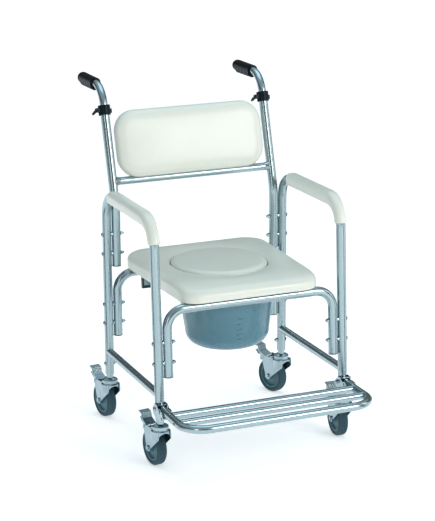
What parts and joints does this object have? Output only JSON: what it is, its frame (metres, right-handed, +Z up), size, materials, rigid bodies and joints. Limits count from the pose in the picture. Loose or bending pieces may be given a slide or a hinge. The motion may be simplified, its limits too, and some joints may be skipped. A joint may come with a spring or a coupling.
{
  "type": "wheeled commode chair",
  "caption": "Wheeled commode chair for a ward, with a padded seat, lift-off lid, sliding pail, folding footrest, telescopic push handles and braked casters.",
  "frame": {"origin": "floor level under the centre of the whole chair's box", "axes": "+X towards the sitter's left, -Y towards the front where the footrest is, +Z up"},
  "size_m": [0.5896, 0.8931, 0.968],
  "materials": {
    "tube": "polished anodised tube",
    "bright_steel": "bright zinc plate",
    "pad_cream": "moulded foam with a smooth satin skin",
    "board": "sealed plywood",
    "black_plastic": "satin moulded",
    "black_grip": "matt moulded",
    "plug": "satin moulded",
    "pail_plastic": "semi-gloss moulded",
    "dark_steel": "satin dark coat",
    "hub_plastic": "satin moulded",
    "tyre": "grooved rubber"
  },
  "bodies": {
    "frame": {"side_loop_left": "tube", "side_loop_right": "tube", "side_brace_left": "tube", "side_brace_right": "tube", "seat_hoop_front": "tube", "seat_hoop_rear": "tube", "back_post_left": "tube", "back_post_right": "tube", "back_crossbar": "tube", "back_pad_straps": "tube", "pail_brackets": "tube", "tube_end_plugs": "plug", "seat_clips": "plug", "tube_spacers": "bright_steel", "frame_bolts": "bright_steel", "frame_cap_nuts": "bright_steel", "back_pad_screws": "bright_steel", "footrest_bracket_left": "bright_steel", "footrest_bracket_right": "bright_steel", "footrest_pins": "bright_steel", "caster_stems": "bright_steel", "pail_rails": "bright_steel", "clamp_collar_left": "black_plastic", "clamp_collar_right": "black_plastic", "back_pad": "pad_cream", "arm_pad_left": "pad_cream", "arm_pad_right": "pad_cream", "seat_cushion": "pad_cream", "back_pad_board": "board", "seat_board": "board", "pail_hangers": "dark_steel"},
    "handle_left": {"handle_tube_left": "tube", "handle_grip_left": "black_grip"},
    "handle_right": {"handle_tube_right": "tube", "handle_grip_right": "black_grip"},
    "lever_left": {"clamp_lever_left": "black_plastic"},
    "lever_right": {"clamp_lever_right": "black_plastic"},
    "lid": {"seat_lid": "pad_cream", "lid_board": "board"},
    "pail": {"pail": "pail_plastic"},
    "footrest": {"footrest_frame": "tube", "footrest_bars": "tube", "footrest_studs": "bright_steel"},
    "swivel_front_left": {"fork_front_left": "bright_steel"},
    "wheel_front_left": {"hub_front_left": "hub_plastic", "tyre_front_left": "tyre"},
    "brake_front_left": {"pedal_front_left": "bright_steel"},
    "swivel_front_right": {"fork_front_right": "bright_steel"},
    "wheel_front_right": {"hub_front_right": "hub_plastic", "tyre_front_right": "tyre"},
    "brake_front_right": {"pedal_front_right": "bright_steel"},
    "swivel_rear_left": {"fork_rear_left": "bright_steel"},
    "wheel_rear_left": {"hub_rear_left": "hub_plastic", "tyre_rear_left": "tyre"},
    "brake_rear_left": {"pedal_rear_left": "bright_steel"},
    "swivel_rear_right": {"fork_rear_right": "bright_steel"},
    "wheel_rear_right": {"hub_rear_right": "hub_plastic", "tyre_rear_right": "tyre"},
    "brake_rear_right": {"pedal_rear_right": "bright_steel"}
  },
  "joints": [
    {"name": "handle_left_slide", "type": "slide", "parent": "frame", "child": "handle_left", "axis": [0, 0.2607, 0.9654], "range_m": [0, 0.1]},
    {"name": "lever_left_hinge", "type": "hinge", "parent": "frame", "child": "lever_left", "pos_m": [0.2166, 0.24463, 0.88893], "axis": [0, 0.9654, -0.2607], "range_deg": [0, 85]},
    {"name": "handle_right_slide", "type": "slide", "parent": "frame", "child": "handle_right", "axis": [0, 0.2607, 0.9654], "range_m": [0, 0.1]},
    {"name": "lever_right_hinge", "type": "hinge", "parent": "frame", "child": "lever_right", "pos_m": [-0.2606, 0.24463, 0.88893], "axis": [0, 0.9654, -0.2607], "range_deg": [0, 85]},
    {"name": "lid_lift", "type": "slide", "parent": "frame", "child": "lid", "axis": [0, 0, 1], "range_m": [0, 0.15]},
    {"name": "pail_slide", "type": "slide", "parent": "frame", "child": "pail", "axis": [0, 1, 0], "range_m": [0, 0.3]},
    {"name": "footrest_fold", "type": "hinge", "parent": "frame", "child": "footrest", "pos_m": [0, -0.262, 0.1705], "axis": [-1, 0, 0], "range_deg": [0, 92]},
    {"name": "swivel_front_left", "type": "hinge", "parent": "frame", "child": "swivel_front_left", "pos_m": [0.266, -0.22747, 0.12], "axis": [0, 0, 1], "continuous": true},
    {"name": "spin_front_left", "type": "hinge", "parent": "swivel_front_left", "child": "wheel_front_left", "pos_m": [0.26869, -0.18906, 0.05], "axis": [0.9976, -0.0698, 0], "continuous": true},
    {"name": "brake_front_left", "type": "hinge", "parent": "swivel_front_left", "child": "brake_front_left", "pos_m": [0.27005, -0.16961, 0.104], "axis": [-0.9976, 0.0698, 0], "range_deg": [0, 10]},
    {"name": "swivel_front_right", "type": "hinge", "parent": "frame", "child": "swivel_front_right", "pos_m": [-0.266, -0.22747, 0.12], "axis": [0, 0, 1], "continuous": true},
    {"name": "spin_front_right", "type": "hinge", "parent": "swivel_front_right", "child": "wheel_front_right", "pos_m": [-0.27069, -0.18926, 0.05], "axis": [0.9925, 0.1219, 0], "continuous": true},
    {"name": "brake_front_right", "type": "hinge", "parent": "swivel_front_right", "child": "brake_front_right", "pos_m": [-0.27307, -0.1699, 0.104], "axis": [-0.9925, -0.1219, 0], "range_deg": [0, 10]},
    {"name": "swivel_rear_left", "type": "hinge", "parent": "frame", "child": "swivel_rear_left", "pos_m": [0.266, 0.19442, 0.12], "axis": [0, 0, 1], "continuous": true},
    {"name": "spin_rear_left", "type": "hinge", "parent": "swivel_rear_left", "child": "wheel_rear_left", "pos_m": [0.25283, 0.2306, 0.05], "axis": [0.9397, 0.342, 0], "continuous": true},
    {"name": "brake_rear_left", "type": "hinge", "parent": "swivel_rear_left", "child": "brake_rear_left", "pos_m": [0.24616, 0.24892, 0.104], "axis": [-0.9397, -0.342, 0], "range_deg": [0, 10]},
    {"name": "swivel_rear_right", "type": "hinge", "parent": "frame", "child": "swivel_rear_right", "pos_m": [-0.266, 0.19442, 0.12], "axis": [0, 0, 1], "continuous": true},
    {"name": "spin_rear_right", "type": "hinge", "parent": "swivel_rear_right", "child": "wheel_rear_right", "pos_m": [-0.27202, 0.23245, 0.05], "axis": [0.9877, 0.1564, 0], "continuous": true},
    {"name": "brake_rear_right", "type": "hinge", "parent": "swivel_rear_right", "child": "brake_rear_right", "pos_m": [-0.27507, 0.25171, 0.104], "axis": [-0.9877, -0.1564, 0], "range_deg": [0, 10]}
  ]
}
